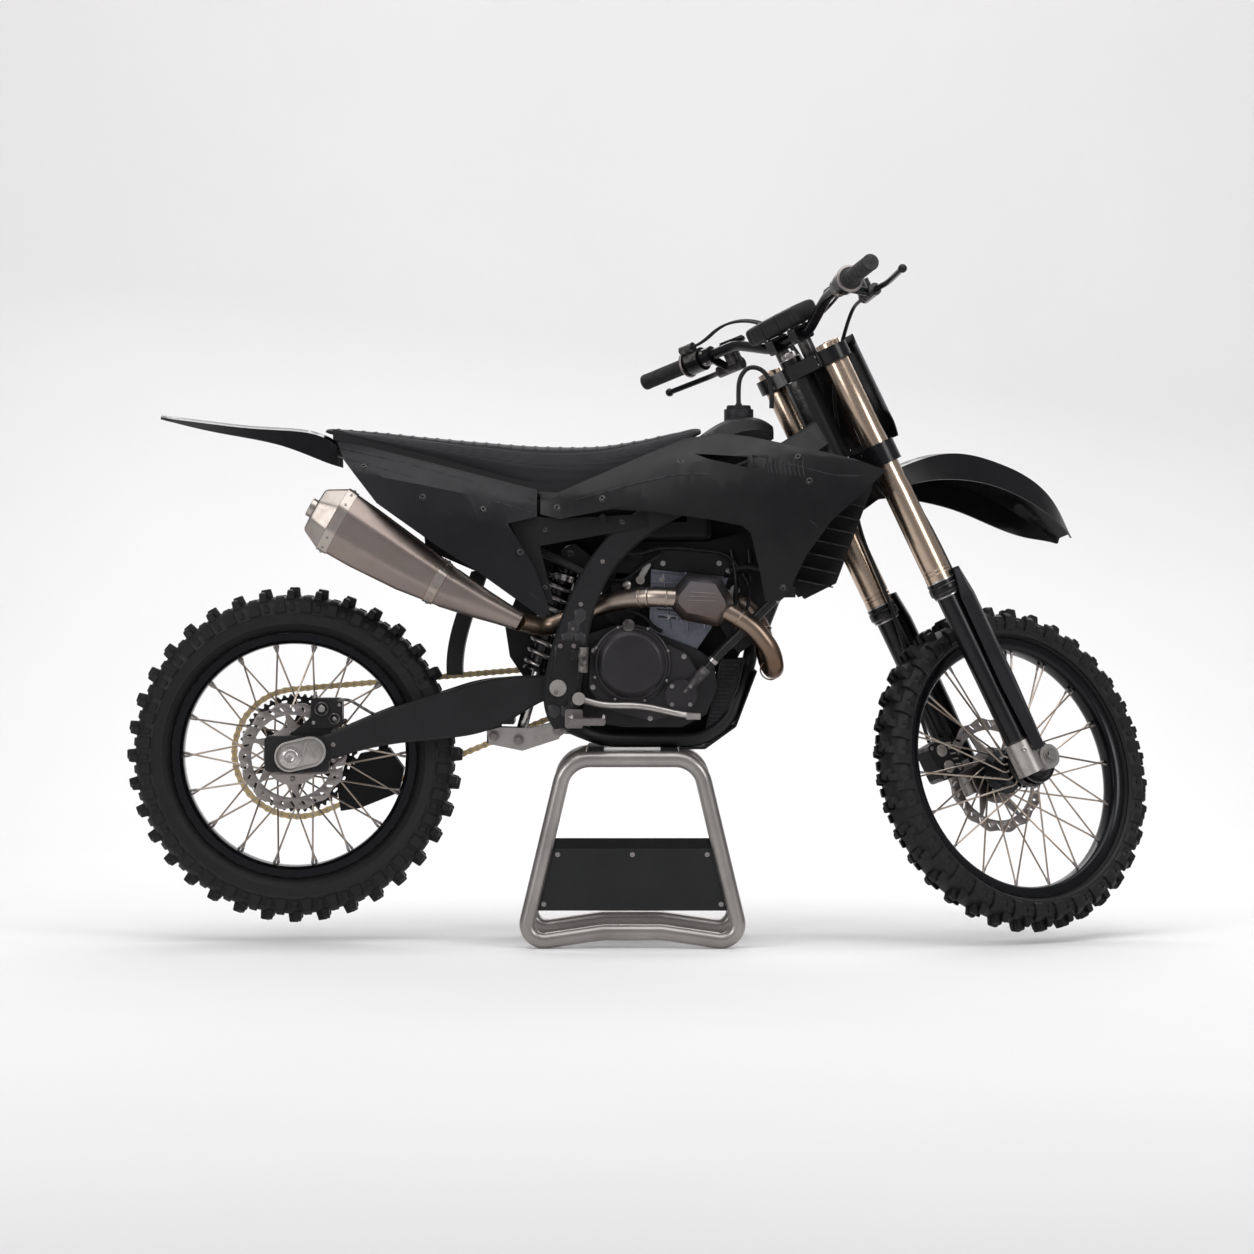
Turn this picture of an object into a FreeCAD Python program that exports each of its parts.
"""Dirt bike on a centre lift stand, built as separate pieces.

Units are millimetres. X points to the front of the bike, Y to its left and Z up.
The origin is on the floor, midway between the stand's four bolt-down holes.
The fork, handlebar and front wheel are modelled straight ahead in the steering frame,
whose Z is the steering axis, and are then turned to the angle at which the bike stands.
"""

import FreeCAD, Part
import math
import os

V = FreeCAD.Vector

# Running and seating clearances
RUN_FIT = 0.05
SEAT_GAP = 0.3
MOVE_GAP = 5.0

# Stand
STAND_TUBE_R = 16.0
STAND_HALF_DEPTH = 160.0
STAND_TOP_HALF_X = 133.0
STAND_BASE_HALF_X = 222.0
STAND_TOP_Z = 379.0
STAND_ARCH_HALF_X = 60.0
STAND_ARCH_RISE = 24.0
STAND_TOP_BEND = 60.0
STAND_BASE_BEND = 34.0
STAND_ARCH_BEND = 120.0
STAND_FLAT = 1.5
STAND_BOLT_R = 4.5
STAND_PANEL_LOW_Z = 75.0
STAND_PANEL_HIGH_Z = 199.0
STAND_PANEL_T = 3.0
STAND_TRAY_T = 5.0
STAND_TRAY_RISE = 5.0
STAND_TRAY_HALF_X = 95.0
STAND_PAD_T = 10.0
STAND_PAD_LENGTH = 34.0

# Swingarm pivot and rear wheel
PIVOT = V(-150, 0, 521)
PIVOT_BOLT_R = 10.0
ARM_CROSS_REACH = 185.0
TYRE_TO_ARM = 11.0
REAR_WHEEL_LIFT = 38.0
REAR_TYRE_R = 343.0
REAR_TYRE_HALF_W = 56.0
REAR_TYRE_DEPTH = 101.0
REAR_RIM_HALF_W = 30.0
REAR_AXLE = V(PIVOT.x - ARM_CROSS_REACH - TYRE_TO_ARM - REAR_TYRE_R, 0, REAR_WHEEL_LIFT + REAR_TYRE_R)

# Front wheel, rims and tread
FRONT_TYRE_R = 340.0
FRONT_TYRE_HALF_W = 43.0
FRONT_TYRE_DEPTH = 76.0
FRONT_RIM_HALF_W = 23.0
RIM_DEPTH = 16.0
SPOKE_R = 1.9
SPOKES_PER_WHEEL = 36
TYRE_SECTORS = 36
LUG_HEIGHT = 15.0
LUG_LENGTH = 24.0

# Axles and hubs
FRONT_AXLE_R = 13.0
FRONT_AXLE_BORE_R = 8.0
REAR_AXLE_R = 12.5
REAR_AXLE_BORE_R = 6.0

# Brake discs and final drive
DISC_T = 4.0
FRONT_DISC_R = 122.0
REAR_DISC_R = 110.0
FRONT_DISC_Y = 62.0
CHAIN_PITCH = 15.875
REAR_TEETH = 52
FRONT_TEETH = 13
CHAIN_Y = 73.0
CHAIN_HALF_W = 8.5
CHAIN_HALF_H = 7.5
CHAIN_PLATE_T = 2.5
FRONT_SPROCKET = V(-62, CHAIN_Y, 533)

# Steering
RAKE_DEG = 25.5
STEER_DEG = 36.0
STEER_TOP = V(327, 0, 1176)
LEG_OFFSET = 22.0
LEG_HALF_SPACING = 105.0
AXLE_LEAD = 44.0
AXLE_DROP = 941.0
STEM_R = 17.0
HEAD_TUBE_R = 32.0
UPPER_CLAMP_T = 30.0
LOWER_CLAMP_Z = -241.0
LOWER_CLAMP_T = 44.0
UPPER_TUBE_R = 26.0
LOWER_TUBE_R = 29.0
OUTER_TUBE_END_Z = -540.0
STANCHION_R = 24.0
BAR_R = 11.1
BAR_HALF_WIDTH = 410.0
BAR_X = 22.0
BAR_Z = 50.0
BAR_RISE = 58.0
BAR_SWEEP = 67.0
GRIP_LENGTH = 120.0
GRIP_R = 16.5


def box(x0, x1, y0, y1, z0, z1):
    return Part.makeBox(x1 - x0, y1 - y0, z1 - z0, V(x0, y0, z0))


def rod(start, end, radius):
    """Round bar from one point to another."""
    start, end = V(start), V(end)
    return Part.makeCylinder(radius, start.distanceToPoint(end), start, end - start)


def cone(start, end, start_radius, end_radius):
    start, end = V(start), V(end)
    length = start.distanceToPoint(end)
    return Part.makeCone(start_radius, end_radius, length, start, end - start)


def fused(shapes):
    """One solid from pieces that overlap."""
    first, rest = shapes[0], shapes[1:]
    return first.fuse(rest).removeSplitter() if rest else first


def group(shapes):
    """Solids that share a node without touching."""
    return Part.makeCompound(shapes)


def mirrored(shape):
    """The same piece on the other side of the bike."""
    return shape.mirror(V(0, 0, 0), V(0, 1, 0))


def bent_path(points, bends):
    """A wire of straight runs through the points, joined by tangent arcs of the given radii."""
    points = [V(p) for p in points]
    if not isinstance(bends, (list, tuple)):
        bends = [bends] * (len(points) - 2)
    edges = []
    at = points[0]
    for before, corner, after, radius in zip(points, points[1:], points[2:], bends):
        back = (before - corner).normalize()
        on = (after - corner).normalize()
        half = back.getAngle(on) / 2
        reach = radius / math.tan(half)
        first, last = corner + back * reach, corner + on * reach
        middle_way = (back + on).normalize()
        centre = corner + middle_way * (radius / math.sin(half))
        middle = centre - middle_way * radius
        if at.distanceToPoint(first) > 1e-6:
            edges.append(Part.LineSegment(at, first).toShape())
        edges.append(Part.Arc(first, middle, last).toShape())
        at = last
    edges.append(Part.LineSegment(at, points[-1]).toShape())
    return Part.Wire(edges)


def pipe(points, radius, bends, bore=0.0):
    """A round tube along a bent path."""
    spine = bent_path(points, bends)
    start = spine.Edges[0].valueAt(spine.Edges[0].FirstParameter)
    way = spine.Edges[0].tangentAt(spine.Edges[0].FirstParameter)

    def swept(r):
        ring = Part.Wire(Part.makeCircle(r, start, way))
        return spine.makePipeShell([ring], True, False)

    body = swept(radius)
    return body.cut(swept(bore)) if bore else body


def outline_face(points, y=0.0):
    """A flat face in the side view from (x, z) points."""
    corners = [V(x, y, z) for x, z in points]
    return Part.Face(Part.makePolygon(corners + corners[:1]))


def slab(points, y0, y1):
    """A side-view outline given thickness across the bike."""
    return outline_face(points, y0).extrude(V(0, y1 - y0, 0))


def section(points):
    """A closed wire of straight edges through 3-D points."""
    corners = [V(p) for p in points]
    return Part.makePolygon(corners + corners[:1])


def loft(wires, ruled=False):
    return Part.makeLoft(wires, True, ruled)


def revolved(profile):
    """A ring about the Y axis from (radius, y) points."""
    corners = [V(r, y, 0) for r, y in profile]
    face = Part.Face(Part.makePolygon(corners + corners[:1]))
    return face.revolve(V(0, 0, 0), V(0, 1, 0), 360)


def steering_placement(turn_deg):
    """From the steering frame to the bike."""
    tilt = FreeCAD.Rotation(V(0, 1, 0), -RAKE_DEG)
    turn = FreeCAD.Rotation(V(0, 0, 1), turn_deg)
    return FreeCAD.Placement(STEER_TOP, tilt.multiply(turn))


def steered(shape):
    """Puts a piece made in the steering frame where it stands."""
    placed = shape.copy()
    placed.Placement = steering_placement(STEER_DEG).multiply(shape.Placement)
    return placed


def moved(shape, offset):
    placed = shape.copy()
    placed.translate(V(offset))
    return placed


def arc_low_point(before, corner, after, radius):
    """Centre of the bend at a corner in the side view."""
    back = (V(before) - V(corner)).normalize()
    on = (V(after) - V(corner)).normalize()
    half = back.getAngle(on) / 2
    return V(corner) + (back + on).normalize() * (radius / math.sin(half))


# Stand: two bent side frames, a tray, rubber pads and side panels

def stand_side_points(y, base_z):
    arch_z = base_z + STAND_ARCH_RISE
    return [
        V(0, y, STAND_TOP_Z),
        V(-STAND_TOP_HALF_X, y, STAND_TOP_Z),
        V(-STAND_BASE_HALF_X, y, base_z),
        V(-STAND_ARCH_HALF_X, y, arch_z),
        V(STAND_ARCH_HALF_X, y, arch_z),
        V(STAND_BASE_HALF_X, y, base_z),
        V(STAND_TOP_HALF_X, y, STAND_TOP_Z),
        V(0, y, STAND_TOP_Z),
    ]


def stand_base():
    """Height of the lower corners, and X of the lowest point of each base bend."""
    trial = stand_side_points(0, 0)
    bend = arc_low_point(trial[1], trial[2], trial[3], STAND_BASE_BEND)
    lowest = bend.z - STAND_BASE_BEND
    return STAND_TUBE_R - STAND_FLAT - lowest, -bend.x


STAND_BASE_Z, STAND_BOLT_X = stand_base()


def stand_loop(y):
    """One closed side frame before it is ground and drilled."""
    bends = [STAND_TOP_BEND, STAND_BASE_BEND, STAND_ARCH_BEND]
    return pipe(stand_side_points(y, STAND_BASE_Z), STAND_TUBE_R, bends + bends[::-1])


def stand_frame():
    """Both side frames, ground flat where they stand, with a bolt-down hole at each foot."""
    sides = []
    for y in (-STAND_HALF_DEPTH, STAND_HALF_DEPTH):
        loop = stand_loop(y)
        floor = box(-400, 400, y - 50, y + 50, -50, 0)
        side = loop.cut(floor)
        for x in (-STAND_BOLT_X, STAND_BOLT_X):
            side = side.cut(rod((x, y, -10), (x, y, 3 * STAND_TUBE_R), STAND_BOLT_R))
        sides.append(side)
    return group(sides)


def stand_leg_half_x(z):
    """Half the distance between the legs' centre lines at a height."""
    share = (STAND_TOP_Z - z) / (STAND_TOP_Z - STAND_BASE_Z)
    return STAND_TOP_HALF_X + share * (STAND_BASE_HALF_X - STAND_TOP_HALF_X)


def stand_panels():
    """A sheet between the legs of each side frame."""
    sheets = []
    for y in (-STAND_HALF_DEPTH, STAND_HALF_DEPTH):
        low, high = (
            stand_leg_half_x(z) for z in (STAND_PANEL_LOW_Z, STAND_PANEL_HIGH_Z)
        )
        corners = [
            (-low, STAND_PANEL_LOW_Z),
            (low, STAND_PANEL_LOW_Z),
            (high, STAND_PANEL_HIGH_Z),
            (-high, STAND_PANEL_HIGH_Z),
        ]
        sheet = slab(corners, y - STAND_PANEL_T / 2, y + STAND_PANEL_T / 2)
        sheets.append(sheet.cut(stand_loop(y)))
    return group(sheets)


STAND_TRAY_Z = STAND_TOP_Z + STAND_TRAY_RISE


def stand_tray():
    """Pressed top that carries the bike, with a return flange between the side frames."""
    reach = math.sqrt(STAND_TUBE_R ** 2 - STAND_TRAY_RISE ** 2)
    inner = STAND_HALF_DEPTH - reach - SEAT_GAP
    top = box(
        -STAND_TRAY_HALF_X, STAND_TRAY_HALF_X, -inner, inner,
        STAND_TRAY_Z, STAND_TRAY_Z + STAND_TRAY_T)
    ribs = [
        box(x - 3, x + 3, -inner + 2, inner - 2, STAND_TRAY_Z - 20, STAND_TRAY_Z)
        for x in (-70, 70)
    ]
    return fused([top] + ribs)


PAD_TOP_Z = STAND_TRAY_Z + STAND_TRAY_T + STAND_PAD_T


def stand_pads():
    """Rubber blocks on the tray under the cradle."""
    half_y = STAND_HALF_DEPTH - 20
    x1 = STAND_TRAY_HALF_X - 3
    return group([
        box(a, a + STAND_PAD_LENGTH, -half_y, half_y, STAND_TRAY_Z + STAND_TRAY_T, PAD_TOP_Z)
        for a in (-x1, x1 - STAND_PAD_LENGTH)
    ])


# Wheels, each made about its own centre with the axle along Y

def faceted_ring(profile, sectors):
    """A ring of flat faces about the Y axis from (radius, y) points."""
    def at(point, n):
        turn = 2 * math.pi * n / sectors
        return V(point[0] * math.cos(turn), point[1], point[0] * math.sin(turn))

    faces = []
    for n in range(sectors):
        for p, q in zip(profile, profile[1:] + profile[:1]):
            faces.append(Part.Face(section([at(p, n), at(q, n), at(q, n + 1), at(p, n + 1)])))
    shell = Part.Shell(faces)
    shell.sewShape()
    solid = Part.Solid(shell)
    return solid if solid.Volume > 0 else solid.reversed()


def lug(profile, length, turn_deg):
    """A tread block from its (radius, y) outline, turned to its place on the tyre."""
    corners = [V(r, y, -length / 2) for r, y in profile]
    block = Part.Face(section(corners)).extrude(V(0, 0, length))
    block.rotate(V(0, 0, 0), V(0, 1, 0), turn_deg)
    return block


def tyre(outer_r, half_w, seat_r, rim_half_w):
    """Knobbly tyre: pairs of crown lugs between pairs of shoulder lugs."""
    floor_r = outer_r - LUG_HEIGHT
    side = [
        ((seat_r + SEAT_GAP) / math.cos(math.pi / TYRE_SECTORS), rim_half_w - 4),
        (seat_r + 22, half_w - 11),
        (outer_r - 42, half_w - 6),
        (floor_r, half_w * 0.55),
    ]
    profile = [(r, -y) for r, y in side] + side[::-1]
    carcass = faceted_ring(profile, TYRE_SECTORS)
    crown = [(floor_r - 4, 3), (outer_r, 3), (outer_r - 1, half_w * 0.38), (floor_r - 4, half_w * 0.42)]
    shoulder = [
        (floor_r - 6, half_w * 0.5), (outer_r - 5, half_w * 0.58),
        (outer_r - 17, half_w), (outer_r - 36, half_w - 7),
    ]
    blocks = []
    for n in range(TYRE_SECTORS):
        outline = shoulder if n % 2 else crown
        for flip in (-1, 1):
            turn = (n + 0.5) * 360 / TYRE_SECTORS
            blocks.append(lug([(r, flip * y) for r, y in outline], LUG_LENGTH, turn))
    return carcass.fuse(blocks)


def rim(lip_r, bed_r, half_w):
    """Hollow-centre rim with two lips and a dropped bed."""
    wall = 5
    profile = [
        (lip_r, -half_w),
        (lip_r, -half_w + wall),
        (bed_r + 12, -half_w + wall + 3),
        (bed_r + 5, -half_w * 0.4),
        (bed_r + 5, half_w * 0.4),
        (bed_r + 12, half_w - wall - 3),
        (lip_r, half_w - wall),
        (lip_r, half_w),
        (bed_r + 8, half_w),
        (bed_r, half_w * 0.45),
        (bed_r, -half_w * 0.45),
        (bed_r + 8, -half_w),
    ]
    return revolved(profile)


def hub(bore_r, barrel_r, flange_r, flange_y, half_length, guard_r=0.0):
    """Barrel with two spoke flanges, and a guard ring round its right-hand end if it has one."""
    t = 4
    profile = [
        (bore_r, -half_length),
        (barrel_r - 6, -half_length),
        (barrel_r, -flange_y - t),
        (flange_r, -flange_y - t),
        (flange_r, -flange_y + t),
        (barrel_r, -flange_y + t + 6),
        (barrel_r - 4, 0),
        (barrel_r, flange_y - t - 6),
        (flange_r, flange_y - t),
        (flange_r, flange_y + t),
        (barrel_r, flange_y + t),
        (barrel_r - 6, half_length),
        (bore_r, half_length),
    ]
    body = revolved(profile)
    if not guard_r:
        return body
    y = -half_length
    ring = revolved([
        (barrel_r - 8, y + 1), (guard_r - 7, y + 1), (guard_r - 4, y - 4),
        (guard_r, y - 2), (guard_r, y + 8), (barrel_r - 8, y + 8),
    ])
    return body.fuse(ring).removeSplitter()


def spokes(flange_r, flange_y, bed_r, lean_deg):
    """Spokes from both flanges, leaning one way on the right and the other way on the left."""
    out = []
    start_r = flange_r + SEAT_GAP + 0.8 * SPOKE_R
    end_r = bed_r - SEAT_GAP - 0.25 * SPOKE_R
    per_side = SPOKES_PER_WHEEL // 2
    for side in (-1, 1):
        for n in range(per_side):
            at_hub = math.radians((n + 0.25 * side) * 360 / per_side)
            at_rim = at_hub + side * math.radians(lean_deg)
            start = V(start_r * math.cos(at_hub), side * flange_y, start_r * math.sin(at_hub))
            end = V(end_r * math.cos(at_rim), side * 5, end_r * math.sin(at_rim))
            out.append(rod(start, end, SPOKE_R))
    return group(out)


def brake_disc(outer_r, inner_r, bolt_r, centre_r, y):
    """Slotted ring on a six-arm carrier."""
    t = DISC_T / 2
    ring = revolved([(outer_r, y - t), (outer_r, y + t), (inner_r, y + t), (inner_r, y - t)])
    hole_at = (outer_r + inner_r) / 2
    holes = [
        rod(
            (hole_at * math.cos(a), y - 10, hole_at * math.sin(a)),
            (hole_at * math.cos(a), y + 10, hole_at * math.sin(a)),
            5,
        )
        for a in (math.radians(n * 360 / 12) for n in range(12))
    ]
    ring = ring.cut(group(holes))
    carrier = revolved([(bolt_r, y - t), (bolt_r, y + t), (centre_r, y + t), (centre_r, y - t)])
    arms = []
    for n in range(6):
        arm = box(centre_r + 2, inner_r + 3, y - t, y + t, -8, 8)
        arm.rotate(V(0, 0, 0), V(0, 1, 0), n * 60)
        arms.append(arm)
    return fused([ring, carrier] + arms)


def sprocket_pitch_r(teeth):
    return CHAIN_PITCH / 2 / math.sin(math.pi / teeth)


REAR_PITCH_R = sprocket_pitch_r(REAR_TEETH)
FRONT_PITCH_R = sprocket_pitch_r(FRONT_TEETH)


def rear_sprocket():
    """Drive ring inside the chain, on a six-arm carrier."""
    outer = REAR_PITCH_R - CHAIN_HALF_H - MOVE_GAP
    y, t = CHAIN_Y, 3
    ring = revolved([(outer, y - t), (outer, y + t), (outer - 20, y + t), (outer - 20, y - t)])
    centre = revolved([(62, y - t), (62, y + t), (34, y + t), (34, y - t)])
    arms = []
    for n in range(6):
        arm = box(50, outer - 12, y - t, y + t, -9, 9)
        arm.rotate(V(0, 0, 0), V(0, 1, 0), n * 60)
        arms.append(arm)
    return fused([ring, centre] + arms)


def chain_loop(offset):
    """Side-view wire of the chain's pitch line, offset outwards."""
    big, small = V(REAR_AXLE.x, 0, REAR_AXLE.z), V(FRONT_SPROCKET.x, 0, FRONT_SPROCKET.z)
    big_r, small_r = REAR_PITCH_R + offset, FRONT_PITCH_R + offset
    line = small - big
    base = math.atan2(line.z, line.x)
    open_by = math.acos((REAR_PITCH_R - FRONT_PITCH_R) / line.Length)

    def at(centre, r, a):
        return V(centre.x + r * math.cos(a), 0, centre.z + r * math.sin(a))

    up, down = base + open_by, base - open_by
    top_big, low_big = at(big, big_r, up), at(big, big_r, down)
    top_small, low_small = at(small, small_r, up), at(small, small_r, down)
    return Part.Wire([
        Part.LineSegment(low_small, low_big).toShape(),
        Part.Arc(low_big, at(big, big_r, base + math.pi), top_big).toShape(),
        Part.LineSegment(top_big, top_small).toShape(),
        Part.Arc(top_small, at(small, small_r, base), low_small).toShape(),
    ])


def chain_room(gap):
    """The loop-shaped space that the chain needs, with a gap all round."""
    reach, half = CHAIN_HALF_H + gap, CHAIN_HALF_W + gap
    whole = Part.Face(chain_loop(reach)).cut(Part.Face(chain_loop(-reach)))
    return moved(whole.extrude(V(0, 2 * half, 0)), (0, CHAIN_Y - half, 0))


def chain():
    """The drive chain as one closed loop of wide and narrow links."""
    line = chain_loop(0)
    count = 2 * round(line.Length / CHAIN_PITCH / 2)
    pins = line.discretize(Number=count + 1)[:-1]
    edges = []
    for n, pin in enumerate(pins):
        along = (pins[(n + 1) % count] - pins[n - 1]).normalize()
        out = V(-along.z, 0, along.x) * CHAIN_HALF_H
        edges.append((pin + out, pin - out))
    links = []
    for n, (near_out, near_in) in enumerate(edges):
        far_out, far_in = edges[(n + 1) % count]
        half = CHAIN_HALF_W if n % 2 else CHAIN_HALF_W - CHAIN_PLATE_T
        side = V(0, half, 0)
        face = Part.Face(section([p - side for p in (near_out, far_out, far_in, near_in)]))
        links.append(face.extrude(2 * side))
    return moved(fused(links), (0, CHAIN_Y, 0))


REAR_HUB_HALF = 70.0
FRONT_HUB_HALF = 60.0
HUB_FLANGE_R = 46.0
HUB_FLANGE_Y = 32.0
HUB_BARREL_R = 34.0
HUB_GUARD_R = 50.0


def rear_placed(shape):
    return moved(shape, REAR_AXLE)


def front_placed(shape):
    """From the front wheel's own centre to where it stands."""
    centre = V(LEG_OFFSET + AXLE_LEAD, 0, -AXLE_DROP)
    return steered(moved(shape, centre))


def raked(shape):
    """Puts a piece made in the steering frame on the bike without turning it."""
    placed = shape.copy()
    placed.Placement = steering_placement(0).multiply(shape.Placement)
    return placed


def beam(stations):
    """A box-section member through (x, y, z, half height, half width) stations."""
    places = [V(x, y, z) for x, y, z, _, _ in stations]
    wires = []
    for n, (_, _, _, h, w) in enumerate(stations):
        along = places[min(n + 1, len(places) - 1)] - places[max(n - 1, 0)]
        up = V(-along.z, 0, along.x).normalize() * h
        side = V(0, w, 0)
        c = places[n]
        cut = 0.35 * min(h, w)
        u, s = up * (1 - cut / h), side * (1 - cut / w)
        wires.append(section([
            c + up + s, c + u + side, c - u + side, c - up + s,
            c - up - s, c - u - side, c + u - side, c + up - s,
        ]))
    return loft(wires)


def skin(stations, thickness):
    """A thin moulded wall on the left side through (x, [(y, z), ...]) sections."""
    wires = []
    for x, line in stations:
        outer = [V(x, y, z) for y, z in line]
        inner = [V(x, y - thickness, z) for y, z in line[::-1]]
        wires.append(section(outer + inner))
    return loft(wires)


def hull_section(x, half_low, half_mid, half_top, low, top):
    """A rounded, flat-bottomed section across the bike."""
    height = top - low
    return section([
        (x, -half_low, low), (x, -half_mid, low + 0.45 * height),
        (x, -half_top, low + 0.88 * height), (x, -0.5 * half_top, top),
        (x, 0.5 * half_top, top), (x, half_top, low + 0.88 * height),
        (x, half_mid, low + 0.45 * height), (x, half_low, low),
    ])


def auto_bends(points, most=400.0):
    """The widest bend at each corner that its two runs allow."""
    points = [V(p) for p in points]
    out = []
    for a, b, c in zip(points, points[1:], points[2:]):
        turn = (b - a).getAngle(c - b)
        shorter = min((b - a).Length, (c - b).Length)
        out.append(min(most, 0.45 * shorter / math.tan(turn / 2)))
    return out


def curved_pipe(points, radius, bore=0.0):
    return pipe(points, radius, auto_bends(points), bore)


# Frame

CRADLE_R = 14.0
CRADLE_Z = PAD_TOP_Z + SEAT_GAP + CRADLE_R
CRADLE_Y = 62.0
FRAME_Y = 108.0
DOWN_TUBE_R = 20.0
SPAR_HALF_H = 27.0
SPAR_HALF_W = 13.0
TANK_REST_Z = 880.0
SHOCK_TOP = V(-126, 0, 792)
SHOCK_PIN_R = 7.0


def pivot_hole():
    return rod((PIVOT.x, -200, PIVOT.z), (PIVOT.x, 200, PIVOT.z), PIVOT_BOLT_R + RUN_FIT)


def head_tube():
    top = -UPPER_CLAMP_T - 2
    bottom = LOWER_CLAMP_Z + LOWER_CLAMP_T / 2 + 2
    tube = rod((0, 0, bottom), (0, 0, top), HEAD_TUBE_R)
    return raked(tube.cut(rod((0, 0, bottom - 1), (0, 0, top + 1), STEM_R + RUN_FIT)))


def main_spars():
    """Head tube, twin spars and the uprights that hold the swingarm."""
    side = beam([
        (388, 16, 1040, 30, 14),
        (300, 66, 985, SPAR_HALF_H, SPAR_HALF_W),
        (150, 112, 920, SPAR_HALF_H, SPAR_HALF_W),
        (12, FRAME_Y + 8, 846, SPAR_HALF_H, SPAR_HALF_W),
        (-80, FRAME_Y + 4, 740, SPAR_HALF_H, SPAR_HALF_W),
        (-118, FRAME_Y + 2, 640, 32, SPAR_HALF_W),
        (-140, FRAME_Y, 530, 38, SPAR_HALF_W),
        (-132, FRAME_Y, 440, 26, SPAR_HALF_W),
    ])
    cross = rod((-62, -FRAME_Y, 750), (-62, FRAME_Y, 750), 14)
    tank_rest = rod((70, -FRAME_Y, TANK_REST_Z - 10.3), (70, FRAME_Y, TANK_REST_Z - 10.3), 10)
    ear = slab([(-72, 736), (-50, 760), (-118, 812), (-146, 800), (-142, 776)], 21, 28)
    body = fused([side, mirrored(side), cross, tank_rest, ear, mirrored(ear)])
    body = body.cut(rod(SHOCK_TOP + V(0, -60, 0), SHOCK_TOP + V(0, 60, 0), SHOCK_PIN_R + RUN_FIT))
    bolt = pivot_hole()
    inside_head = raked(rod((0, 0, -260), (0, 0, 0), HEAD_TUBE_R - 2))
    body = body.cut(bolt).cut(inside_head)
    return body.fuse(head_tube()).removeSplitter()


def cradle_rails(radius):
    """The pair of rails that pass under the engine."""
    rails = []
    for side in (-1, 1):
        points = [
            V(246, side * 4, 612),
            V(236, side * 34, 560),
            V(196, side * CRADLE_Y, 452),
            V(140, side * CRADLE_Y, CRADLE_Z),
            V(-60, side * CRADLE_Y, CRADLE_Z),
            V(-128, side * (CRADLE_Y + 20), 442),
        ]
        rails.append(curved_pipe(points, radius))
    return fused(rails)


LINK_BAR = V(-96, 0, 428)
LINK_BAR_R = 8.0


def cradle():
    """Down tube, the two rails, and the bar that the suspension link pulls on."""
    down = curved_pipe([(367, 0, 990), (369, 0, 922), (246, 0, 606)], DOWN_TUBE_R)
    bar = rod(LINK_BAR + V(0, -70, 0), LINK_BAR + V(0, 70, 0), LINK_BAR_R)
    body = fused([down, cradle_rails(CRADLE_R), bar])
    clear_head = raked(rod((0, 0, -300), (0, 0, 0), HEAD_TUBE_R + SEAT_GAP))
    return body.cut(clear_head)


def subframe():
    """Rear rails that carry the seat and fender."""
    tubes = []
    for side in (-1, 1):
        upper = [
            V(0, side * 92, 862), V(-150, side * 88, 905),
            V(-330, side * 66, 936), V(-600, side * 56, 998.6),
        ]
        lower = [V(-92, side * 89, 752), V(-300, side * 62, 850), V(-470, side * 58, 955)]
        post = rod((-426, side * 62, 958), (-426, side * 62, SEAT_BASE_Z - 3.4), 8)
        lug = box(-566, -546, side * 63 - 3, side * 63 + 3, 964, 988)
        tubes += [post, lug]
        tubes.append(curved_pipe(upper, 10))
        tubes.append(curved_pipe(lower, 9))
    cross = rod((-590, -56, 995), (-590, 56, 995), 8)
    return fused(tubes + [cross])


SEAT_BASE_Z = 984.0


# Engine, one closed block with its covers

CASE_HALF_W = 74.0
CASE_NECK_HALF_W = 52.0
CRANK = V(72, 0, 545)
CLUTCH = V(-2, 0, 569)
COVER_T = 26.0
SPROCKET_COVER_Y = 92.0


CASE_DECK = [(131, 598), (60, 626)]
HEAD_FACE = [(194, 742), (38, 760)]


def engine_case():
    """Crankcase block, with a lug at the swingarm pivot and a pocket for the chain."""
    outline = [(-118, 476), (-92, 454), (-20, 440), (100, 440), (150, 466), (172, 520), (165, 575)]
    outline += CASE_DECK + [(-30, 648), (-92, 628), (-118, 566)]
    case = slab(outline, -CASE_HALF_W, CASE_HALF_W)
    case = case.cut(box(-200, -100, CASE_NECK_HALF_W, 120, 400, 700))
    case = case.cut(box(-200, -100, -120, -CASE_NECK_HALF_W, 400, 700))
    neck = V(0, CASE_NECK_HALF_W, 0)
    lug = rod(PIVOT - neck, PIVOT + neck, PIVOT_BOLT_R + 14)
    arm = box(PIVOT.x, -110, -CASE_NECK_HALF_W, CASE_NECK_HALF_W, PIVOT.z - 24, PIVOT.z + 24)
    case = fused([case, lug, arm])
    pocket_r = FRONT_PITCH_R + CHAIN_HALF_H + MOVE_GAP
    x, z = FRONT_SPROCKET.x, FRONT_SPROCKET.z
    floor = CHAIN_Y - CHAIN_HALF_W - 3
    pocket = rod((x, floor, z), (x, 200, z), pocket_r)
    way_out = box(-200, x, floor, 200, z - pocket_r - 20, z + pocket_r)
    case = case.cut(pocket).cut(way_out).cut(pivot_hole())
    return case.cut(cradle_rails(CRADLE_R + 1))


def cylinder_block():
    outline = [(34, 637)] + CASE_DECK[::-1] + [(160, 640)] + HEAD_FACE
    return slab(outline, -62, 62)


def cylinder():
    """Cylinder and head, leaning a little forward."""
    return cylinder_block().cut(moved(engine_case(), (0, 0, SEAT_GAP)))


def valve_cover():
    outline = HEAD_FACE[::-1] + [(203, 760), (170, 797), (67, 805), (42, 782)]
    return slab(outline, -52, 52)


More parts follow.
